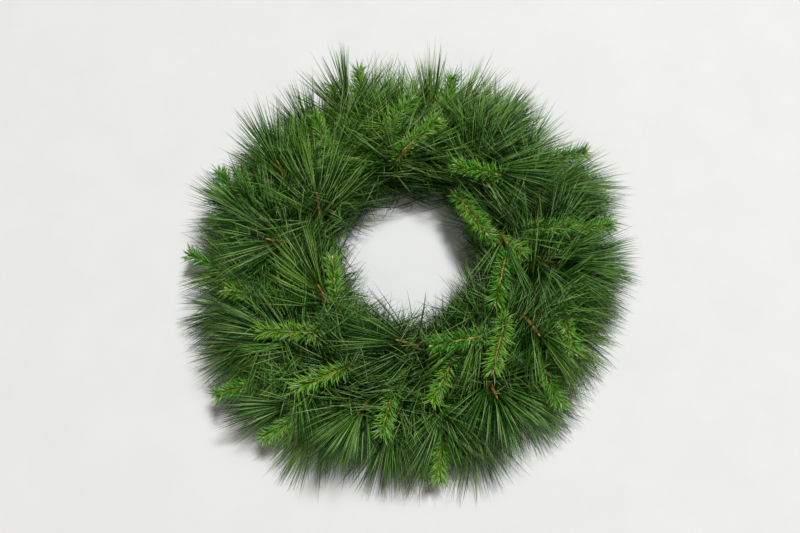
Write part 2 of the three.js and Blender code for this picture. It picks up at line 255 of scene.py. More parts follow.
# %% Fir branches
# For a fir shoot the place is that of its furthest needles.
FIR_BRANCHES = [
    [110, [0, 224, 84, 55, 10]],
    [93, [36, 184, 100, 42, 14]],
    [134, [-138, 194, 86, 112, 14], [-118, 254, 66, 102, 8]],
    [164, [-266, 122, 50, 128, 4], [-230, 116, 76, 110, 12]],
    [188, [-298, 4, 38, 160, 3]],
    [39, [234, 156, 68, 12, 8]],
    [11, [268, 60, 50, 10, 4], [216, 42, 82, 2, 12]],
    [44, [38, 108, 108, 176, 14]],
    [51, [98, 14, 90, 302, 14]],
    [227, [-98, -4, 88, 98, 12]],
    [35, [146, -2, 84, 328, 16]],
    [356, [99, -80, 98, 258, 10]],
    [321, [95, -162, 104, 256, 12]],
    [299, [16, -128, 108, 196, 12]],
    [296, [26, -196, 88, 246, 10]],
    [248, [-138, -182, 94, 206, 10]],
    [230, [-238, -188, 50, 204, 4]],
    [251, [-176, -238, 46, 218, 4]],
    [263, [-29, -236, 84, 258, 12]],
    [326, [184, -192, 74, 290, 8]],
    [344, [202, -130, 76, 284, 12]],
    [207, [-185, -114, 100, 184, 14], [-235, -54, 78, 170, 10]],
    [82, [-85, 286, 56, 100, 5]],
    [63, [50, 280, 54, 80, 4]],
    [279, [41, -280, 44, 266, 3]],
]
print(len(FIR_BRANCHES), "fir branches")

# %% [markdown]
# ### From rows to routes
# A stem lies straight across both rails, where it is bound, and then bends in one cubic
# curve to its first shoot. Its other shoots sit on twigs that fork off in the middle of
# that bend. A route is only a list of places, along which a stem is swept later.

# %% Routes of the stems and twigs
def polar(azimuth, radius, z):
    a = math.radians(azimuth)
    return Vector((radius * math.cos(a), radius * math.sin(a), z))


def heading_of(heading, rise):
    tilt = math.radians(rise)
    return polar(heading, math.cos(tilt), math.sin(tilt))


def shoot_of(row, length, ahead):
    """A shoot's base, direction and end."""
    along = heading_of(*row[3:])
    base = Vector(row[:3]) * MM - along * (length + ahead if ahead else 0)
    return base, along, base + along * length


def bezier(a, b, c, d, steps):
    places = []
    for k in range(steps + 1):
        t = k / steps
        s = 1 - t
        places.append(a * s**3 + b * 3 * s * s * t + c * 3 * s * t * t + d * t**3)
    return places


def stem_route(shoot, seat):
    """From the cut end across both rails and in a bend to the shoot's end."""
    base, along, end = shoot
    outward = base.xy.length > sum(FRAME_RAILS) / 2
    radii = (FRAME_RAILS[0] - STEM_OVERHANG, FRAME_RAILS[1] + STEM_OVERHANG)
    cut, edge = (polar(seat, r, SEAT_Z) for r in (radii if outward else radii[::-1]))
    ease = BEND_EASE * (edge - base).length
    onward = edge + (edge - cut).normalized() * ease
    bend = bezier(edge, onward, base - along * ease, base, BEND_STEPS)
    return [cut, *bend, end], bend[len(bend) // 2]


def twig_route(shoot, fork):
    """A side shoot's twig, from where it forks off the stem's bend."""
    base, along, end = shoot
    approach = base - along * (BEND_EASE * (fork - base).length)
    near = fork.lerp(approach, 2 / 3)
    far = base.lerp(approach, 2 / 3)
    return [*bezier(fork, near, far, base, TWIG_STEPS), end]


def branch_of(row, length, ahead=0):
    """A branch's shoots, and its stem's and twigs' routes."""
    seat, *rows = row
    shoots = [shoot_of(shoot_row, length, ahead) for shoot_row in rows]
    stem, fork = stem_route(shoots[0], seat)
    return shoots, [stem] + [twig_route(shoot, fork) for shoot in shoots[1:]]


pines = [branch_of(row, PINE_SHOOT) for row in PINE_BRANCHES]
firs = [branch_of(row, FIR_SHOOT, FIR_AHEAD) for row in FIR_BRANCHES]
print(sum(len(routes) for _, routes in pines + firs), "stems and twigs")

# %% [markdown]
# ## Undergrowth
# The solids hold the branches that give the wreath its form. A real cut branch has more
# side shoots than that, low down and half hidden, and they are what closes the wreath,
# so that neither the frame nor the table shows through it. They are strewn evenly round
# the ring in belts, and each one forks off the nearest pine stem.

# %% More side shoots, in belts round the ring
draw = random.Random(8)
AZIMUTH_SHIFT = 0.3
PLACE_SHIFT = 8
RISE_SHIFT = 5
TWIG_BEHIND = 30 * MM
# How many, then their radius and height in millimetres, then their heading off outward,
# its spread and their rise in degrees.
BELTS = (
    (26, 182, 32, 0, 40, 5),
    (30, 184, 42, 60, 80, 10),
    (26, 150, 40, 110, 70, 12),
    (24, 146, 34, 135, 70, 4),
)


def nearest_stem(place):
    """The pine branch, and the spot on its stem, that are nearest to a place."""
    spots = [(spot, branch) for branch in pines for spot in branch[1][0][2:-2]]
    return min(spots, key=lambda found: (found[0] - place).length)


for count, radius, height, off, spread, rise in BELTS:
    for k in range(count):
        azimuth = 360 * (k + draw.uniform(-AZIMUTH_SHIFT, AZIMUTH_SHIFT)) / count
        side = 1 if k % 2 else -1
        heading = azimuth + side * (off + draw.uniform(-spread, spread) / 2)
        out = (radius + draw.uniform(-PLACE_SHIFT, PLACE_SHIFT)) * MM
        z = (height + draw.uniform(-PLACE_SHIFT, PLACE_SHIFT)) * MM
        base = polar(azimuth, out, z)
        along = heading_of(heading, rise + draw.uniform(-RISE_SHIFT, RISE_SHIFT))
        spot, branch = nearest_stem(base - along * TWIG_BEHIND)
        shoot = (base, along, base + along * PINE_SHOOT)
        branch[0].append(shoot)
        branch[1].append(twig_route(shoot, spot))
print(sum(len(branch[0]) for branch in pines), "pine shoots in all")

# %% [markdown]
# ## Stems and twigs
# A cut branch has a woody stem, and its shoots fork off as thinner twigs. A stem is a
# round section swept along a route, so a curve with a radius at each point is the
# natural way to draw it. Bark is never an even tube: the tree below cuts the route into
# short steps, pushes the surface in and out with noise, and closes the cut ends.

# %% A tree that sweeps a rough rod along each curve
tree, g, given = growing_tree("bark_rods", {
    "Routes": bpy.types.Object,
    "Step": 3 * MM,
    "Sides": 8,
    "Knobs": 0.22,
    "Knob size": 4 * MM,
    "Material": bpy.types.Material,
})
routes = g("GeometryNodeObjectInfo", {"Object": given["Routes"]}, out="Geometry")
routes = g("GeometryNodeResampleCurve", {"Curve": routes, "Length": given["Step"]}, mode="LENGTH")
section = g("GeometryNodeCurvePrimitiveCircle", {"Resolution": given["Sides"], "Radius": 1.0})
rods = g("GeometryNodeCurveToMesh", {
    "Curve": routes, "Profile Curve": section,
    "Scale": g("GeometryNodeInputRadius"), "Fill Caps": True,
})
place = g("GeometryNodeInputPosition")
density = g.math("DIVIDE", 1.0, given["Knob size"])
knobs = g("ShaderNodeTexNoise", {"Vector": place, "Scale": density, "Detail": 1.0})
swell = g.math("MULTIPLY", g.math("SUBTRACT", knobs, 0.5), given["Knobs"])
swell = g.math("MULTIPLY", swell, 2 * STEM_BASE)
pushed = g.scaled(g("GeometryNodeInputNormal"), swell)
rods = g("GeometryNodeSetPosition", {"Geometry": rods, "Offset": pushed})
rods = g("GeometryNodeSetShadeSmooth", {"Geometry": rods})
rods = g("GeometryNodeRealizeInstances", {"Geometry": rods})
rods = g("GeometryNodeSetMaterial", {"Geometry": rods, "Material": given["Material"]})
g("NodeGroupOutput", {"Geometry": rods}, out=None)
bark_rods = tree
print(len(tree.nodes), "nodes sweep a stem")

# %% Curves with a radius at each point
def curve_of(name, routes, radii=None):
    """A poly curve with one spline for each route, and a radius at each point."""
    curve = bpy.data.curves.new(name, "CURVE")
    curve.dimensions = "3D"
    for index, route in enumerate(routes):
        spline = curve.splines.new("POLY")
        spline.points.add(len(route) - 1)
        for k, place in enumerate(route):
            spline.points[k].co = (*place, 1)
            spline.points[k].radius = radii(index, k, len(route)) if radii else 1
    drawn = bpy.data.objects.new(name, curve)
    bpy.context.scene.collection.objects.link(drawn)
    return drawn


def stem_radius(first, base, end, k, count):
    """From the cut end or the fork to the shoot's base, then thinner to its end."""
    if k == count - 1:
        return end
    share = k / (count - 2)
    return first + (base - first) * share


def branch_radii(order, base, end):
    """Radii for a list of routes, of which order says which are main stems."""
    def radius(index, k, count):
        first = STEM_CUT if order[index] else STEM_END
        return stem_radius(first, base, end, k, count)

    return radius


# %% [markdown]
# ## One tree for every spray of needles
# A pine needle is a long, nearly straight blade, three-sided in section, and it leaves
# the shoot in a bundle of three that share a root. A fir needle is short, flat and
# alone. Both stand round their shoot in the same spiral as the seeds of a sunflower, a
# golden angle apart, leaning out most at the shoot's base and least at its end. So one
# tree can grow both: it works out each needle's place from its number alone. Its inputs
# hold all that differs. They start with the pine's habit, and with limits that keep
# every needle inside the solids' box.

# %% The tree and its inputs
HOLE_RADIUS = 72 * MM
TIP_RADIUS = 307 * MM
HALF_WIDTH = 304 * MM
TOP_HEIGHT = 130 * MM
LOWEST = 1.5 * MM

tree, g, given = growing_tree("needled_shoots", {
    "Shoots": bpy.types.Object,
    "Needles per shoot": 300,
    "Bundle": 3,
    "Bundle spread": math.radians(6),
    "Length": 100 * MM,
    "Length spread": 0.2,
    "Width": 1.38 * MM,
    "Flatness": 0.7,
    "Lean at base": math.radians(66),
    "Lean at end": math.radians(5),
    "Lean spread": math.radians(12),
    "Combed flat": 0.0,
    "Forward": 0.1,
    "Droop": 0.06,
    "Rim droop": 0.0,
    "Wander": 0.05,
    "Hole radius": HOLE_RADIUS,
    "Tip radius": TIP_RADIUS,
    "Half width": HALF_WIDTH,
    "Top height": TOP_HEIGHT,
    "Lowest": LOWEST,
    "Ragged": 0.15,
    "Ragged at hole": 0.4,
    "Kept clear": bpy.types.Object,
    "Clear distance": 0.0,
    "Tone": 0.5,
    "Tone spread": 0.3,
    "Painted light outward": 0.0,
    "Shade within": 0.0,
    "Tone least": 0.03,
    "Tone most": 0.8,
    "Pale share": 0.17,
    "Seed": 1,
    "Material": bpy.types.Material,
})
print(len(given), "inputs shape a spray")

# %% [markdown]
# ### Where a needle stands
# There is one point for each needle. The point's number gives its shoot and its bundle,
# and the bundle's number gives how far along the shoot and how far round it the needle
# stands. Every random number has a seed and belongs to the needle or to its bundle, so
# it is the same in each run. A fir shoot is also combed: its needles are pressed
# towards the plane it lies in, which shows more of the twig and gives it a flat side.

# %% Roots along the shoots
MOST_BUNDLES = 1000.0


def points_on(g, shoots, per_shoot):
    """Points for every shoot, the number of each one's shoot, and its own number on it."""
    shoot_count = g("GeometryNodeAttributeDomainSize", {0: shoots}, out="Spline Count",
                    component="CURVE")
    points = g("GeometryNodePoints", {"Count": g.math("MULTIPLY", shoot_count, per_shoot)})
    number = g("GeometryNodeInputIndex")
    shoot = g.math("FLOOR", g.math("DIVIDE", number, per_shoot))
    return points, shoot, g.math("SUBTRACT", number, g.math("MULTIPLY", shoot, per_shoot))


def chance(low, high, salt, name=None):
    """A random number for each needle, or for each name."""
    inputs = {"Min": low, "Max": high, "Seed": g.math("ADD", given["Seed"], float(salt))}
    if name is not None:
        inputs["ID"] = name
    return g("FunctionNodeRandomValue", inputs, data_type="FLOAT")


def strayed(value, spread, salt, most=1.0, name=None):
    """A value that varies by up to so many times its spread, either way."""
    return g.math("ADD", value, g.math("MULTIPLY", chance(-most, most, salt, name), spread))


shoots = g("GeometryNodeObjectInfo", {"Object": given["Shoots"]}, out="Geometry")
points, shoot, on_shoot = points_on(g, shoots, given["Needles per shoot"])
bundle = g.math("FLOOR", g.math("DIVIDE", on_shoot, given["Bundle"]))
bundle_count = g.math("CEIL", g.math("DIVIDE", given["Needles per shoot"], given["Bundle"]))
bundle_name = g.math("ADD", bundle, g.math("MULTIPLY", shoot, MOST_BUNDLES))
share = g.math("ADD", bundle, chance(0.0, 1.0, 1, bundle_name))
share = g.math("DIVIDE", share, bundle_count)
root = g("GeometryNodeSampleCurve", {"Curves": shoots, "Factor": share, "Curve Index": shoot},
         out="Position", mode="FACTOR")
ahead = g.pick(root.node.outputs, "Tangent")
print(len(tree.nodes), "nodes place the roots")

# %% Spiral, lean and combing
GOLDEN_ANGLE = math.pi * (3 - math.sqrt(5))

azimuth = g.math("MULTIPLY_ADD", bundle, GOLDEN_ANGLE, chance(-0.5, 0.5, 2, bundle_name))
azimuth = strayed(azimuth, given["Bundle spread"], 4, most=1.5)
lean = g.ranged(share, 0.0, 1.0, given["Lean at base"], given["Lean at end"])
lean = strayed(lean, given["Lean spread"], 3, name=bundle_name)
lean = strayed(lean, given["Bundle spread"], 5)
facing = g("FunctionNodeAlignRotationToVector", {"Vector": ahead}, axis="Z")
turned = g("FunctionNodeEulerToRotation", {0: g.xyz(lean, 0.0, azimuth)})
facing = g("FunctionNodeRotateRotation", {"Rotation": facing, "Rotate By": turned},
           rotation_space="LOCAL")
way = g("FunctionNodeRotateVector", {"Vector": (0, 0, 1), "Rotation": facing})

along = g.scaled(ahead, g.vector("DOT_PRODUCT", way, ahead, out="Value"))
aside = g.vector("SUBTRACT", way, along)
flatter = g.math("SUBTRACT", 1.0, given["Combed flat"])
pressed = g.math("MULTIPLY", g.part(aside, "Z"), flatter)
aside = g.xyz(g.part(aside, "X"), g.part(aside, "Y"), pressed)
way = g.vector("NORMALIZE", g.vector("ADD", along, aside))
facing = g("FunctionNodeAlignRotationToVector", {"Vector": way}, axis="Z")
facing = g("FunctionNodeAlignRotationToVector", {"Rotation": facing, "Vector": (0, 0, 1)},
           axis="Y", pivot_axis="Z")
print("needles stand", round(math.degrees(GOLDEN_ANGLE), 1), "degrees apart round a shoot")

# %% [markdown]
# ### How a needle bends
# It bends a little towards the shoot's own direction, hangs a little and strays a
# little. Out at the rim it has nothing under it and hangs further, which rounds the
# wreath's shoulder down to the table. The bend is kept as one vector, the way that the
# tip ends up off the straight line.

# %% Length and bend
RIM_DROOP_FROM = 230 * MM
RIM_DROOP_FULL = 300 * MM


def plan_radius(place):
    """How far a place is from the ring's axis."""
    return g.vector("LENGTH", g.vector("MULTIPLY", place, (1, 1, 0)), out="Value")


shorter = g.math("MULTIPLY", chance(0.0, 1.0, 6), given["Length spread"])
length = g.math("MULTIPLY", given["Length"], g.math("SUBTRACT", 1.0, shorter))
straight_tip = g.vector("ADD", root, g.scaled(way, length))
far_out = g.ranged(plan_radius(straight_tip), RIM_DROOP_FROM, RIM_DROOP_FULL, 0.0,
                   given["Rim droop"])
fall = g.math("MULTIPLY", g.math("ADD", given["Droop"], far_out), -1.0)
stray = g("FunctionNodeRandomValue", {
    "Min": (-1, -1, -1), "Max": (1, 1, 1), "Seed": g.math("ADD", given["Seed"], 7.0),
}, data_type="FLOAT_VECTOR")
bend = g.vector("ADD", g.scaled(ahead, given["Forward"]), g.xyz(0.0, 0.0, fall))
bend = g.vector("ADD", bend, g.scaled(stray, given["Wander"]))
reach = g.scaled(g.vector("ADD", way, bend), length)
print("needles hang furthest from", round(RIM_DROOP_FULL / MM), "mm out")

# %% [markdown]
# ### Where a needle ends
# The tips make a round outline and a round hole, both ragged, as the real needles do
# with their different lengths. The solids' box is square, so a tip also stays within a
# square. A needle that would cross an edge ends at it instead. One that would lose more
# than three tenths of its way would look cut, so it is left out, and so is one that
# starts past the edge, stands too high, or aims well below the table.

# %% Shorten needles at the rim and the hole
def frayed(edge, share, salt, rarity):
    """An edge drawn in by up to a share of it. The higher the rarity, the fewer come near that."""
    drawn_in = g.math("MULTIPLY", g.math("POWER", chance(0.0, 1.0, salt), rarity), share)
    return g.math("MULTIPLY", edge, g.math("SUBTRACT", 1.0, drawn_in))


far_spot = g.vector("ADD", root, reach)
far_radius = plan_radius(far_spot)
root_radius = plan_radius(root)
travel = g.math("SUBTRACT", far_radius, root_radius)
sides = [g.math("ABSOLUTE", g.part(far_spot, axis)) for axis in "XY"]
square_edge = g.math("MULTIPLY", given["Half width"], far_radius)
square_edge = g.math("DIVIDE", square_edge, g.math("MAXIMUM", *sides))
round_edge = g.math("MINIMUM", given["Tip radius"], square_edge)
outer_edge = frayed(round_edge, given["Ragged"], 11, 1.3)
inner_edge = frayed(given["Hole radius"], given["Ragged at hole"], 12, 2.0)
share_kept = 1.0
for edge, passed in ((outer_edge, "GREATER_THAN"), (inner_edge, "LESS_THAN")):
    share_before = g.math("DIVIDE", g.math("SUBTRACT", edge, root_radius), travel)
    share_kept = g("ShaderNodeMix", {
        "Factor": g.math(passed, far_radius, edge), "A": share_kept, "B": share_before,
    }, data_type="FLOAT")
length = g.math("MULTIPLY", length, share_kept)
bend = g.scaled(bend, length)
tip = g.vector("ADD", root, g.scaled(reach, share_kept))
tip_height = g.part(tip, "Z")
print(len(tree.nodes), "nodes place, bend and end a needle")

# %% [markdown]
# ### Which needles are left out
# The fir sprigs were tucked in last and lie on top, so a pine needle that would cover a
# fir shoot is left out as well. It is tested at four spots along it: each must be far
# enough to the side of the nearest shoot, or well below it, and outside the hole.

# %% Leave out the needles that are in the way
SHORTEST_SHARE = 0.7
STARTS_PAST = 1.0001
SINK = 12 * MM
BELOW_SHARE = -0.5
HOLE_SLACK = 0.98

misses = [
    g.math("LESS_THAN", share_kept, SHORTEST_SHARE),
    g.math("GREATER_THAN", share_kept, STARTS_PAST),
    g.math("GREATER_THAN", tip_height, given["Top height"]),
    g.math("LESS_THAN", tip_height, g.math("SUBTRACT", given["Lowest"], SINK)),
]
kept_clear = g("GeometryNodeObjectInfo", {"Object": given["Kept clear"]}, out="Geometry")
kept_clear = g("GeometryNodeCurveToMesh", {"Curve": kept_clear})
below = g.math("MULTIPLY", given["Clear distance"], BELOW_SHARE)
hole_edge = g.math("MULTIPLY", inner_edge, HOLE_SLACK)
for share_along in (0.3, 0.55, 0.8, 1.0):
    spot = g.vector("ADD", root, g.scaled(g.vector("SUBTRACT", tip, root), share_along))
    nearest = g("GeometryNodeProximity", {"Geometry": kept_clear, "Sample Position": spot},
                out="Position", target_element="EDGES")
    gap = g.vector("SUBTRACT", spot, nearest)
    beside = g.math("LESS_THAN", plan_radius(gap), given["Clear distance"])
    over = g.math("GREATER_THAN", g.part(gap, "Z"), below)
    misses.append(g.math("MULTIPLY", beside, over))
    misses.append(g.math("LESS_THAN", plan_radius(spot), hole_edge))
missed = misses[0]
for miss in misses[1:]:
    missed = g.math("ADD", missed, miss)
print(len(misses), "reasons to leave a needle out")

# %% [markdown]
# ### A needle's tone
# A needle's colour comes from one number, its tone, from old and dark to young and
# pale. It varies about the branch's own tone and stays in the branch's range. On top of
# that the tone carries painted light and shade: it is raised towards the rim and lowered
# towards the hole, and lowered again deep inside the ring, a painted shade where little
# light gets in. A share of the needles is quite pale. The tone, the bend and the rest are
# stored on the needle's point, to be read once a needle stands there.

# %% Tone, and what each point stores
PALE_TONES = (0.86, 0.94)
RING_SPAN = (100 * MM, 300 * MM)
DEEP_HEIGHTS = (20 * MM, 90 * MM)
INSIDE_RADII = (200 * MM, 280 * MM)


def stored(geometry, name, value, data_type="FLOAT", domain="POINT"):
    return g("GeometryNodeStoreNamedAttribute", {
        "Geometry": geometry, "Name": name, "Value": value,
    }, data_type=data_type, domain=domain)


def read(name, data_type="FLOAT"):
    return g("GeometryNodeInputNamedAttribute", {"Name": name}, data_type=data_type)


# Painted light and shade: the tone is raised towards the rim and lowered towards the hole, and
# lowered deep inside the ring as painted shade.
lit_outward = g.ranged(plan_radius(tip), *RING_SPAN, -1.0, 1.0)
tone = g.math("MULTIPLY_ADD", chance(-1.0, 1.0, 8), given["Tone spread"], given["Tone"])
tone = g.math("MULTIPLY_ADD", lit_outward, given["Painted light outward"], tone)
deep = g.ranged(tip_height, *DEEP_HEIGHTS, 1.0, 0.0)
inside = g.ranged(plan_radius(tip), *INSIDE_RADII, 1.0, 0.0)
shade = g.math("MULTIPLY", g.math("MULTIPLY", deep, inside), given["Shade within"])
tone = g.math("SUBTRACT", tone, shade)
tone = g("ShaderNodeClamp", {
    "Value": tone, "Min": given["Tone least"], "Max": given["Tone most"],
})
pale = g.math("LESS_THAN", chance(0.0, 1.0, 9), given["Pale share"])
tone = g("ShaderNodeMix", {"Factor": pale, "A": tone, "B": chance(*PALE_TONES, 10)},
         data_type="FLOAT")

points = g("GeometryNodeSetPosition", {"Geometry": points, "Position": root})
points = stored(points, "tone", tone)
points = stored(points, "bend", bend, "FLOAT_VECTOR")
points = stored(points, "facing", facing, "QUATERNION")
points = stored(points, "length", length)
points = g("GeometryNodeDeleteGeometry", {
    "Geometry": points, "Selection": g.math("GREATER_THAN", missed, 0.5),
}, domain="POINT")
print("the palest tones are", *PALE_TONES)

# %% [markdown]
# ### A needle's shape
# One needle is made once, upright and one unit high: a three-sided cone whose sides are
# pushed out, so it is slim at the root, even for most of its length and pointed at the
# tip. A copy stands on every point. The bend grows with the square of the height, and a
# needle that meets the table lies on it.
#
# Each needle keeps a two-number address in a UV map: its own tone across, and the
# height along it up. The material reads only that, so a needle keeps its colours
# however it bends, and tens of thousands of them can share one small picture when the
# finish is baked.

# %% One needle, copied, bent and addressed
STAGES = 3
FULLNESS = 0.72
ROOT_SHARE = 0.64
NECK = 0.3
TIP_ROOM = 0.0001
TONE_WIDTH = 0.012
ROUNDING = 0.01
ADDRESS_START = 0.01
ADDRESS_HEIGHT = 0.96

needle = g("GeometryNodeMeshCone", {
    "Vertices": 3, "Side Segments": STAGES, "Radius Top": 0.0, "Radius Bottom": 0.5,
    "Depth": 1.0,
}, fill_type="TRIANGLE_FAN")
place = g("GeometryNodeInputPosition")
up_it = g.part(place, "Z")
thick = g.math("POWER", g.math("SUBTRACT", 1 + TIP_ROOM, up_it), -FULLNESS)
neck = g.math("MINIMUM", up_it, NECK)
neck = g.math("MULTIPLY_ADD", neck, (1 - ROOT_SHARE) / NECK, ROOT_SHARE)
thick = g.math("MULTIPLY", thick, neck)
needle = g("GeometryNodeSetPosition", {
    "Geometry": needle, "Position": g.vector("MULTIPLY", place, g.xyz(thick, thick, 1.0)),
})
needle = stored(needle, "up it", up_it)
around = g.math("DIVIDE", g("GeometryNodeInputIndex"), 3.0)
around = g.math("FRACT", g.math("ADD", around, ROUNDING))
needle = stored(needle, "around", around)
needle = g("GeometryNodeSetShadeSmooth", {"Geometry": needle})

width = given["Width"]
grown = g("GeometryNodeInstanceOnPoints", {
    "Points": points, "Instance": needle, "Rotation": read("facing", "QUATERNION"),
    "Scale": g.xyz(width, g.math("MULTIPLY", width, given["Flatness"]), read("length")),
})
grown = g("GeometryNodeRealizeInstances", {"Geometry": grown})
squared = g.math("MULTIPLY", read("up it"), read("up it"))
bent = g.scaled(read("bend", "FLOAT_VECTOR"), squared)
bent = g.vector("ADD", g("GeometryNodeInputPosition"), bent)
laid = g.math("MAXIMUM", g.part(bent, "Z"), given["Lowest"])
grown = g("GeometryNodeSetPosition", {
    "Geometry": grown, "Position": g.xyz(g.part(bent, "X"), g.part(bent, "Y"), laid),
})
across = g.math("MULTIPLY_ADD", read("around"), TONE_WIDTH, read("tone"))
upward = g.math("MULTIPLY_ADD", read("up it"), ADDRESS_HEIGHT, ADDRESS_START)
upward = g.math("MULTIPLY_ADD", read("around"), ADDRESS_START, upward)
grown = stored(grown, "OFBake", g.xyz(across, upward, 0.0), "FLOAT2", "CORNER")
grown = g("GeometryNodeSetMaterial", {"Geometry": grown, "Material": given["Material"]})
g("NodeGroupOutput", {"Geometry": grown}, out=None)
needled_shoots = tree
print(len(tree.nodes), "nodes grow a spray")

# %% [markdown]
# ## Buds
# Each shoot ends in a bud: one fat brown bud on a pine, and a cluster of three smaller
# cream ones on a fir. A bud is a pointed egg covered in a spiral of scales. The egg is
# a sphere drawn out in length, and the scales are a relief, worked out from each
# point's height and its place round the bud, because they are too small to be leaves.

# %% A tree that sets buds on the shoots' ends
SCALE_RISE = 4.0
SCALE_TILT = 9.0
TILTED_ROWS = 3
POINTED = 0.35
TIP_SPARE = 1.02
BETWEEN_SCALES = 0.95
SIDE_BUD_SIZE = 0.7

tree, g, given = growing_tree("budded_ends", {
    "Shoots": bpy.types.Object,
    "Buds per shoot": 1,
    "Length": 7 * MM,
    "Width": 3 * MM,
    "Splay": math.radians(38),
    "Scales round": 5.0,
    "Relief": 0.16,
    "Material": bpy.types.Material,
})
shoots = g("GeometryNodeObjectInfo", {"Object": given["Shoots"]}, out="Geometry")
points, shoot, on_shoot = points_on(g, shoots, given["Buds per shoot"])
root = g("GeometryNodeSampleCurve", {"Curves": shoots, "Factor": 1.0, "Curve Index": shoot},
         out="Position", mode="FACTOR")
ahead = g.pick(root.node.outputs, "Tangent")
facing = g("FunctionNodeAlignRotationToVector", {"Vector": ahead}, axis="Z")
middle_one = g.math("LESS_THAN", on_shoot, 0.5)
splay = g.math("MULTIPLY", given["Splay"], g.math("SUBTRACT", 1.0, middle_one))
half_turns = g.math("MULTIPLY", on_shoot, math.pi)
turned = g("FunctionNodeEulerToRotation", {0: g.xyz(splay, 0.0, half_turns)})
facing = g("FunctionNodeRotateRotation", {"Rotation": facing, "Rotate By": turned},
           rotation_space="LOCAL")
points = g("GeometryNodeSetPosition", {"Geometry": points, "Position": root})
print(len(tree.nodes), "nodes say where the buds sit")

# %% The bud's scales, and a bud on each point
bud = g("GeometryNodeMeshUVSphere", {"Segments": 20, "Rings": 16, "Radius": 0.5})
place = g("GeometryNodeInputPosition")
height = g.math("ADD", g.part(place, "Z"), 0.5)
round_it = g.math("ARCTAN2", g.part(place, "Y"), g.part(place, "X"))
turns = g.math("DIVIDE", round_it, 2 * math.pi)
spiral = g.math("MULTIPLY_ADD", height, SCALE_RISE, turns)
spiral = g.math("MULTIPLY", spiral, given["Scales round"])
tilted = g.math("MULTIPLY", round_it, -TILTED_ROWS / (2 * math.pi))
tilted = g.math("MULTIPLY_ADD", height, SCALE_TILT, tilted)
scale_edge = g.math("MAXIMUM", g.math("FRACT", spiral), g.math("FRACT", tilted))
point_in = g.math("POWER", g.math("SUBTRACT", TIP_SPARE, height), POINTED)
swell = g.math("MULTIPLY_ADD", scale_edge, given["Relief"], BETWEEN_SCALES)
swell = g.math("MULTIPLY", point_in, swell)
sides = [g.math("MULTIPLY", g.part(place, axis), swell) for axis in "XY"]
bud = g("GeometryNodeSetPosition", {"Geometry": bud, "Position": g.xyz(*sides, height)})
bud = g("GeometryNodeSetShadeSmooth", {"Geometry": bud})
size = g.math("MULTIPLY_ADD", middle_one, 1 - SIDE_BUD_SIZE, SIDE_BUD_SIZE)
width = g.math("MULTIPLY", given["Width"], size)
budded = g("GeometryNodeInstanceOnPoints", {
    "Points": points, "Instance": bud, "Rotation": facing,
    "Scale": g.xyz(width, width, g.math("MULTIPLY", given["Length"], size)),
})
budded = g("GeometryNodeRealizeInstances", {"Geometry": budded})
budded = g("GeometryNodeSetMaterial", {"Geometry": budded, "Material": given["Material"]})
g("NodeGroupOutput", {"Geometry": budded}, out=None)
budded_ends = tree
print(len(tree.nodes), "nodes set the buds")

# %% [markdown]
# ## Wire
# The frame is round steel wire: four rings and six bent cross-bars, welded where they
# meet. The binding is one long thin wire. All of it is a circle swept along a path, so
# one tree makes both from their paths, rounds the bends of the bars, and sets a small
# bead of weld where the frame's wires meet.

# %% A tree that sweeps wire along its paths
tree, g, given = growing_tree("wires", {
    "Paths": bpy.types.Object,
    "Welds": bpy.types.Object,
    "Wire radius": 1.4 * MM,
    "Sides": 10,
    "Bend radius": 5 * MM,
    "Bead": 1.25,
    "Material": bpy.types.Material,
})
paths = g("GeometryNodeObjectInfo", {"Object": given["Paths"]}, out="Geometry")
cyclic = g("GeometryNodeInputSplineCyclic")
turning = g.math("MULTIPLY", given["Bend radius"], g.math("SUBTRACT", 1.0, cyclic))
paths = g("GeometryNodeFilletCurve", {"Curve": paths, "Count": 6, "Radius": turning}, mode="POLY")
section = g("GeometryNodeCurvePrimitiveCircle", {"Resolution": given["Sides"], "Radius": 1.0})
swept = g("GeometryNodeCurveToMesh", {
    "Curve": paths, "Profile Curve": section, "Scale": given["Wire radius"], "Fill Caps": True,
})
bead = g("GeometryNodeMeshUVSphere", {"Segments": 12, "Rings": 8, "Radius": 1.0})
welds = g("GeometryNodeObjectInfo", {"Object": given["Welds"]}, out="Geometry")
grain = g("FunctionNodeRandomValue", {"Min": 0.9, "Max": 1.15, "Seed": 3}, data_type="FLOAT")
beads = g("GeometryNodeInstanceOnPoints", {
    "Points": welds, "Instance": bead,
    "Scale": g.math("MULTIPLY", grain, g.math("MULTIPLY", given["Wire radius"], given["Bead"])),
})
wires = g("GeometryNodeJoinGeometry")
g.tree.links.new(swept, wires.node.inputs[0])
g.tree.links.new(beads, wires.node.inputs[0])
wires = g("GeometryNodeSetShadeSmooth", {"Geometry": wires})
wires = g("GeometryNodeRealizeInstances", {"Geometry": wires})
wires = g("GeometryNodeSetMaterial", {"Geometry": wires, "Material": given["Material"]})
g("NodeGroupOutput", {"Geometry": wires}, out=None)
swept_wires = tree
print(len(tree.nodes), "nodes sweep the wires")

# %% [markdown]
# ## Finishes
# The needles, the bark, the buds and the wire each have their own finish. What they
# share is unevenness: no growing thing and no dipped wire is one even colour. So one
# small shader group makes a blotchy mask and a fine relief from the place on the piece,
# and each finish uses it at its own scale.

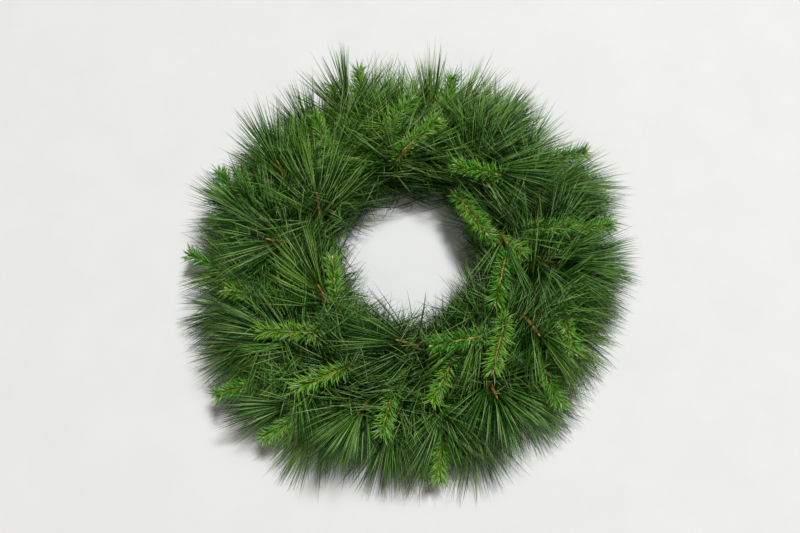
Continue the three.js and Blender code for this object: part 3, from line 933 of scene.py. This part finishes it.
# %% A shared group for blotches and relief
blotches = bpy.data.node_groups.new("blotches", "ShaderNodeTree")
blotches.interface.new_socket("Size", in_out="INPUT", socket_type="NodeSocketFloat")
blotches.interface.new_socket("Relief", in_out="INPUT", socket_type="NodeSocketFloat")
blotches.interface.new_socket("Mask", in_out="OUTPUT", socket_type="NodeSocketFloat")
blotches.interface.new_socket("Normal", in_out="OUTPUT", socket_type="NodeSocketVector")
g = Graph(blotches)
given = g("NodeGroupInput", out=None).outputs
place = g("ShaderNodeTexCoord", out="Object")
density = g.math("DIVIDE", 1.0, given["Size"])
mask = g("ShaderNodeTexNoise", {
    "Vector": place, "Scale": density, "Detail": 4.0, "Roughness": 0.6,
})
fine = g("ShaderNodeTexNoise", {"Vector": place, "Scale": g.math("MULTIPLY", density, 4.0)})
relief = g.math("ADD", mask, g.math("MULTIPLY", fine, 0.5))
normal = g("ShaderNodeBump", {
    "Height": relief, "Distance": given["Relief"], "Strength": 0.8,
})
g("NodeGroupOutput", {"Mask": g.ranged(mask, 0.3, 0.7), "Normal": normal}, out=None)
print(len(blotches.nodes), "nodes in the shared group")

# %% Helpers for the materials
def finish(name, **settings):
    """A new material, its nodes' graph and its shader, with these values set on that."""
    material = bpy.data.materials.new(name)
    material.use_nodes = True
    shader = material.node_tree.nodes["Principled BSDF"]
    for key, value in settings.items():
        shader.inputs[key.replace("_", " ").title().replace("Ior", "IOR")].default_value = value
    return material, Graph(material.node_tree), shader


def ramp(g, value, stops):
    """Colours along a value, from a list of (place, hex colour)."""
    out = g("ShaderNodeValToRGB", {"Fac": value}, out="Color")
    elements = out.node.color_ramp.elements
    while len(elements) < len(stops):
        elements.new(0.5)
    for element, (place, colour) in zip(elements, stops):
        element.position = place
        element.color = linear(colour)
    return out


def linear(colour):
    """A screen colour such as "4f7a3a" as the light values that a shader needs."""
    parts = [int(colour[k:k + 2], 16) / 255 for k in (0, 2, 4)]
    return [c / 12.92 if c < 0.04045 else ((c + 0.055) / 1.055) ** 2.4 for c in parts] + [1]


def blended(g, factor, one, two, kind="MIX"):
    return g("ShaderNodeMix", {"Factor": factor, "A": one, "B": two},
             data_type="RGBA", blend_type=kind)


# %% [markdown]
# ## The needles' green
# A living needle is waxy: darker and cooler when it is old, yellower when it is young,
# brown where its bundle is sheathed and a little pale towards the tip. The material
# reads the needle's address. Across, the pine has two families of green, first the
# cooler one and then the yellower one, each from dark to light, and then the palest
# needles. The fir has one family and its palest needles. Up goes from the sheath to
# the tip. The lower half is shaded, because needles stand close together there and
# little light gets in between them.

# %% Needle materials
STREAKS = (90, 3, 0)


def needle_finish(name, tones, sheath, sheath_end, tip_colour, base_shade, **settings):
    material, g, shader = finish(name, **settings)
    address = g("ShaderNodeUVMap", uv_map="OFBake")
    across = g.part(address, "X")
    up_it = g.part(address, "Y")
    green = ramp(g, across, tones)
    tipped = g.ranged(up_it, 0.8, 1.0, 0.0, 0.45)
    green = blended(g, tipped, green, linear(tip_colour))
    sheathed = g.ranged(up_it, sheath_end * 0.4, sheath_end, 1.0, 0.0)
    green = blended(g, sheathed, green, linear(sheath))
    green = blended(g, 1.0, green, g.ranged(up_it, 0.05, 0.5, base_shade), "MULTIPLY")
    g.join(green, shader.inputs["Base Color"])
    stretched = g.vector("MULTIPLY", address, STREAKS)
    streaks = g("ShaderNodeTexNoise", {"Vector": stretched, "Scale": 1.0})
    g.join(g.ranged(streaks, 0.0, 1.0, 0.24, 0.48), shader.inputs["Roughness"])
    return material


pine_green = needle_finish(
    "pine_needle_green",
    [(0.0, "0a2402"), (0.1, "1c480a"), (0.22, "3a7620"), (0.38, "74aa48"), (0.42, "163803"),
     (0.52, "2e620a"), (0.64, "52901c"), (0.8, "90c044"), (0.84, "82a850"), (1.0, "acc886")],
    sheath="8a6526", sheath_end=0.15, tip_colour="7c9c4c", base_shade=0.34, specular_ior_level=0.42,
)
fir_green = needle_finish(
    "fir_needle_green",
    [(0.0, "24620c"), (0.3, "3b8c20"), (0.55, "5cac2a"), (0.8, "96c842"), (0.84, "94bc6c"),
     (1.0, "c0d8ac")],
    sheath="8a7a30", sheath_end=0.2, tip_colour="86b060", base_shade=0.8, specular_ior_level=0.42,
)
print("needle materials:", pine_green.name, fir_green.name)

# %% [markdown]
# ## Bark, buds and wire
# Twig bark is brown with lighter, golden patches, and the fir's is the more golden of
# the two. Buds are lighter still and slightly sticky, so they shine more. The wire is
# dipped in dark green enamel, which is worn off here and there on its crowns.

# %% The other materials
def blotched(name, dark, light, size, relief, **settings):
    """A finish in blotches of two colours, with its graph, its shader and the group node."""
    material, g, shader = finish(name, **settings)
    mask = g("ShaderNodeGroup", node_tree=blotches, out=None)
    mask.inputs["Size"].default_value = size
    mask.inputs["Relief"].default_value = relief
    colours = ramp(g, mask.outputs["Mask"], [(0.15, dark), (0.85, light)])
    g.join(colours, shader.inputs["Base Color"])
    g.join(mask.outputs["Normal"], shader.inputs["Normal"])
    return material, g, shader, mask


pine_bark = blotched("pine_twig_bark", "4a3814", "a4863c", 2.2 * MM, 0.6 * MM, roughness=0.75)[0]
fir_bark = blotched("fir_twig_bark", "6c5c1c", "c4b058", 2.0 * MM, 0.4 * MM, roughness=0.7)[0]
pine_bud = blotched("pine_bud_scales", "7a6226", "c0a24c", 1.2 * MM, 0.2 * MM, roughness=0.5)[0]
fir_bud = blotched("fir_bud_scales", "b0a054", "e4dca8", 1.0 * MM, 0.2 * MM, roughness=0.5)[0]


def enamelled(name, dark, light, steel):
    """Enamel that is worn through to the steel in patches on the wire's crown."""
    material, g, shader, mask = blotched(name, dark, light, 6 * MM, 0.1 * MM, coat_weight=0.3)
    crown = g("ShaderNodeNewGeometry", out="Pointiness")
    patchy = g.math("MULTIPLY", g.ranged(crown, 0.53, 0.6), mask.outputs["Mask"])
    enamel = shader.inputs["Base Color"].links[0].from_socket
    g.join(blended(g, patchy, enamel, linear(steel)), shader.inputs["Base Color"])
    g.join(patchy, shader.inputs["Metallic"])
    dull = g.ranged(mask.outputs["Mask"], 0.0, 1.0, 0.3, 0.5)
    g.join(dull, shader.inputs["Roughness"])
    return material


frame_enamel = enamelled("frame_wire_enamel", "16301d", "24482e", "8a8f8c")
binding_enamel = enamelled("binding_wire_enamel", "1e3d25", "33603b", "9a9f9c")
print(len(bpy.data.materials), "materials so far")

# %% [markdown]
# ## Grow the sprays
# Each branch becomes one piece that takes the place of its plain solid. Its needles
# clothe the shoot and some of the twig behind it, so the path they follow is the last
# stretch of the branch's route: short for a pine, whose needles make a tuft, and long
# for a fir, which is clothed well down its twig.

# %% Helpers that grow one branch's needles
PINE_NEEDLED = 36 * MM
FIR_NEEDLED = 130 * MM


def last_of(route, length):
    """The last stretch of a route."""
    kept = [route[-1]]
    left = length
    for ahead, behind in zip(route[:0:-1], route[-2::-1]):
        span = (ahead - behind).length
        kept.append(ahead.lerp(behind, min(1, left / span)))
        left -= span
        if left <= 0:
            break
    return kept[::-1]


def finished(piece, node=None):
    """Ride on the one body, and take the place of a solid."""
    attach(piece, "root")
    if node:
        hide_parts(node)


def grow_needles(node, routes, needled, values):
    """One branch's needles, in the place of its solid; gives back how many faces."""
    paths = curve_of(node + "_shoots", [last_of(route, needled) for route in routes])
    piece = grow(node + "_needles", needled_shoots, values | {"Shoots": paths})
    bpy.data.objects.remove(paths)
    finished(piece, node)
    return len(piece.data.polygons)


def bearing(routes):
    """Which way from the axis a spray lies, in radians."""
    middle = sum((route[-1] for route in routes), Vector()) / len(routes)
    return math.atan2(middle.y, middle.x)


# %% [markdown]
# ### Pine sprays
# No two sprays on the real wreath are alike. About half have cooler greens and half
# yellower ones, some darker than others, and their needles differ in reach. The wreath
# isn't even all round either, and the values below follow what the photograph shows:
#
# - The hole is wider on the far side and narrower on the near side.
# - At the lower left everything lies a little further out.
# - Needles hang over the near rim, and stand out straighter at the far one.
#
# The firs are kept clear of pine needles only at their ends, so they seem to grow out
# of the pine.

# %% Needles for every pine branch
FIR_SHOWN = 30 * MM
FIR_CLEARANCE = 12 * MM
COOL_GREENS = 0.01
WARM_GREENS = 0.42
GREENS_SPAN = 0.36
LOWER_LEFT = math.radians(228)
LOWER_LEFT_FOCUS = 6
HOLE_AT_SIDES = 89
WIDER_FAR = 36
NARROWER_NEAR = 18
WIDER_LOWER_LEFT = 12
REACH = 304
REACH_SPREAD = (-14, 6)
FURTHER_LOWER_LEFT = 20
RIM_DROOP = 0.22
STRAIGHTER_FAR = 0.2

reaches = random.Random(17)
fir_lines = curve_of("fir_lines", [last_of(run[0], FIR_SHOWN) for _, run in firs])
faces = 0
for k, (_, routes) in enumerate(pines):
    darkest = WARM_GREENS if draw.random() < 0.5 else COOL_GREENS
    far_side = math.sin(bearing(routes))
    lower_left = max(0.0, math.cos(bearing(routes) - LOWER_LEFT)) ** LOWER_LEFT_FOCUS
    by_side = WIDER_FAR if far_side > 0 else NARROWER_NEAR
    hole = HOLE_AT_SIDES + by_side * far_side + WIDER_LOWER_LEFT * lower_left
    reach = REACH + FURTHER_LOWER_LEFT * lower_left + reaches.uniform(*REACH_SPREAD)
    faces += grow_needles(f"pine_spray_{k + 1:02d}", routes, PINE_NEEDLED, {
        "Hole radius": hole * MM, "Tip radius": reach * MM,
        "Rim droop": RIM_DROOP - STRAIGHTER_FAR * far_side,
        "Kept clear": fir_lines, "Clear distance": FIR_CLEARANCE,
        "Tone": darkest + draw.uniform(0.02, 0.22),
        "Tone least": darkest, "Tone most": darkest + GREENS_SPAN,
        # painted light and shade by radius, and painted shade deep inside the ring
        "Painted light outward": 0.08, "Shade within": 0.14,
        "Seed": 100 + k, "Material": pine_green,
    })
bpy.data.objects.remove(fir_lines)
print("pine needles:", faces, "faces")

# %% [markdown]
# ### Fir sprigs
# A fir needle stands off its twig almost squarely, is flat, and keeps to itself instead
# of growing in bundles. There are many more of them to a shoot, and they vary in length
# and stray widely, or the sprig would look like a comb.

# %% Needles for every fir branch
faces = 0
for k, (_, routes) in enumerate(firs):
    faces += grow_needles(f"fir_sprig_{k + 1:02d}", routes, FIR_NEEDLED, {
        "Needles per shoot": 560, "Bundle": 1, "Bundle spread": math.radians(9),
        "Length": 20 * MM, "Length spread": 0.42, "Width": 1.6 * MM, "Flatness": 0.35,
        "Lean at base": math.radians(76), "Lean at end": math.radians(52),
        "Lean spread": math.radians(18), "Combed flat": 0.35,
        "Droop": 0.0, "Wander": 0.22, "Ragged": 0.0,
        "Tone": draw.uniform(0.4, 0.74), "Pale share": 0.12,
        "Seed": 300 + k, "Material": fir_green,
    })
print("fir needles:", faces, "faces")

# %% [markdown]
# ### Stems and buds
# All pine stems together are one piece, and so are all fir stems and each kind of bud.
# A fir twig is finer and smoother than a pine's.

# %% Stems and buds
FIR_TWIG = 1.5 * MM
FIR_TWIG_END = 1.0 * MM


def grow_stems(name, branches, base, end, values):
    routes = [route for _, run in branches for route in run]
    order = [k == 0 for _, run in branches for k in range(len(run))]
    drawn = curve_of(name + "_routes", routes, branch_radii(order, base, end))
    piece = grow(name, bark_rods, values | {"Routes": drawn})
    bpy.data.objects.remove(drawn)
    finished(piece)
    print(name, len(routes), "stems,", len(piece.data.polygons), "faces")


def grow_buds(name, branches, values):
    ends = [(base, end) for shoots, _ in branches for base, _, end in shoots]
    drawn = curve_of(name + "_ends", ends)
    piece = grow(name, budded_ends, values | {"Shoots": drawn})
    bpy.data.objects.remove(drawn)
    finished(piece)
    print(name, len(ends), "shoots,", len(piece.data.polygons), "faces")


grow_stems("pine_stems", pines, STEM_BASE, STEM_END, {"Material": pine_bark})
grow_stems("fir_stems", firs, FIR_TWIG, FIR_TWIG_END, {
    "Material": fir_bark, "Knobs": 0.12,
})
grow_buds("pine_buds", pines, {"Material": pine_bud})
grow_buds("fir_buds", firs, {
    "Buds per shoot": 3, "Length": 6 * MM, "Width": 3.8 * MM, "Material": fir_bud,
})

# %% [markdown]
# ## Bend the wires
# The frame's rings and bars and the winding are the solids' own sizes, with the corners
# of the solids' square wire taken in so that a round wire of the same place rests on
# the table.

# %% Paths of the frame and the binding
CROSS_BARS = 6
FIRST_BAR = 3
BAR_LEAN = 6 * MM
BAR_DROP = 0.8 * MM
TURNS = 29.6
WINDING_HALF_WIDTH = 28 * MM
WINDING_HALF_HEIGHT = 11.5 * MM
WINDING_WIRE = 0.8 * MM
WINDING_Z = (RAIL_Z - FRAME_WIRE + SEAT_Z + STEM_CUT) / 2


def ring(radius, z, steps=180):
    return [polar(360 * k / steps, radius, z) for k in range(steps)]


def bar(azimuth):
    inner, outer = FRAME_FEET
    top = RAIL_Z - BAR_DROP
    places = [(inner, FRAME_FLAT), (inner + BAR_LEAN, top), (outer - BAR_LEAN, top),
              (outer, FRAME_FLAT)]
    return [polar(azimuth, radius, z) for radius, z in places]


def winding(steps_a_turn=24):
    places = []
    count = round(TURNS * steps_a_turn)
    for k in range(count + 1):
        turn = 2 * math.pi * TURNS * k / count
        azimuth = 360 * TURNS * k / count / math.ceil(TURNS)
        radius = sum(FRAME_RAILS) / 2 + WINDING_HALF_WIDTH * math.cos(turn)
        places.append(polar(azimuth, radius, WINDING_Z + WINDING_HALF_HEIGHT * math.sin(turn)))
    return places


# %% Sweep the frame and the binding
def wire_piece(name, paths, closed, welds, values, node):
    drawn = curve_of(name + "_paths", paths)
    for spline, is_ring in zip(drawn.data.splines, closed):
        spline.use_cyclic_u = is_ring
    weld_mesh = bpy.data.meshes.new(name + "_welds")
    weld_mesh.from_pydata(welds, [], [])
    spots = bpy.data.objects.new(name + "_welds", weld_mesh)
    bpy.context.scene.collection.objects.link(spots)
    piece = grow(name, swept_wires, values | {"Paths": drawn, "Welds": spots})
    bpy.data.objects.remove(drawn)
    bpy.data.objects.remove(spots)
    finished(piece, node)
    print(name, len(piece.data.polygons), "faces")


rings = [ring(radius, FRAME_FLAT) for radius in FRAME_FEET]
rings += [ring(radius, RAIL_Z) for radius in FRAME_RAILS]
bar_azimuths = [FIRST_BAR + 360 * k / CROSS_BARS for k in range(CROSS_BARS)]
bars = [bar(azimuth) for azimuth in bar_azimuths]
welds = [polar(azimuth, radius, RAIL_Z) for azimuth in bar_azimuths for radius in FRAME_RAILS]
wire_piece("frame_wires", rings + bars, [True] * len(rings) + [False] * len(bars), welds, {
    "Wire radius": FRAME_FLAT, "Material": frame_enamel,
}, "wire_frame")
wire_piece("wound_wire", [winding()], [False], [], {
    "Wire radius": WINDING_WIRE, "Sides": 8, "Bend radius": 0.0, "Material": binding_enamel,
}, "binding_wire")

# %% [markdown]
# ## The table and the light
# The wreath lies on a plain, nearly white table. The photograph has bright needles seen
# from above, dark gaps between them, and a shadow in the upper right of the hole. So
# the light comes from a big soft lamp far up, almost overhead, a little to the right
# and behind. A weak one at the front and the glow of a pale, warm room, brighter near
# the horizon than above, keep the shade from going black.

# %% Table
TABLE_HALF = 3.0
corners = [(-TABLE_HALF, -TABLE_HALF, 0), (TABLE_HALF, -TABLE_HALF, 0),
           (TABLE_HALF, TABLE_HALF, 0), (-TABLE_HALF, TABLE_HALF, 0)]
table_mesh = bpy.data.meshes.new("table_top")
table_mesh.from_pydata(corners, [], [(0, 1, 2, 3)])
table_top = bpy.data.objects.new("table_top", table_mesh)
bpy.context.scene.collection.objects.link(table_top)
pale_table = blotched("pale_table", "eeeeed", "f1f1f0", 90 * MM, 0.1 * MM, roughness=0.85)[0]
table_top.data.materials.append(pale_table)
print("table", 2 * TABLE_HALF, "m wide")

# %% Light
HORIZON_GLOW = 0.2
OVERHEAD_GLOW = 0.055
ROOM_COLOUR = (1.0, 0.9, 0.72, 1)


def soft_lamp(name, place, width, power, colour):
    """A round lamp of this width that points at the wreath."""
    light = bpy.data.lights.new(name, "AREA")
    light.color = colour
    light.shape = "DISK"
    light.size = width
    light.energy = power
    lamp = bpy.data.objects.new(name, light)
    lamp.location = place
    lamp.rotation_euler = (Vector(place) * -1).to_track_quat("-Z", "Y").to_euler()
    bpy.context.scene.collection.objects.link(lamp)


soft_lamp("key", (1.25, 1.4, 6.3), 1.3, 378, (0.98, 0.99, 1.0))
soft_lamp("room", (-0.4, -1.8, 2.4), 1.6, 8, (1.0, 1.0, 1.0))
world = bpy.data.worlds.new("pale_room")
world.use_nodes = True
g = Graph(world.node_tree)
height = g.part(g("ShaderNodeTexCoord", out="Generated"), "Z")
glow = g.ranged(height, 0.35, 0.7, HORIZON_GLOW, OVERHEAD_GLOW,
                interpolation_type="SMOOTHSTEP")
backdrop = world.node_tree.nodes["Background"]
backdrop.inputs["Color"].default_value = ROOM_COLOUR
g.join(glow, backdrop.inputs["Strength"])
bpy.context.scene.world = world
bpy.context.scene.view_settings.view_transform = "Standard"
print(len(bpy.data.lights), "lamps and the room's glow")
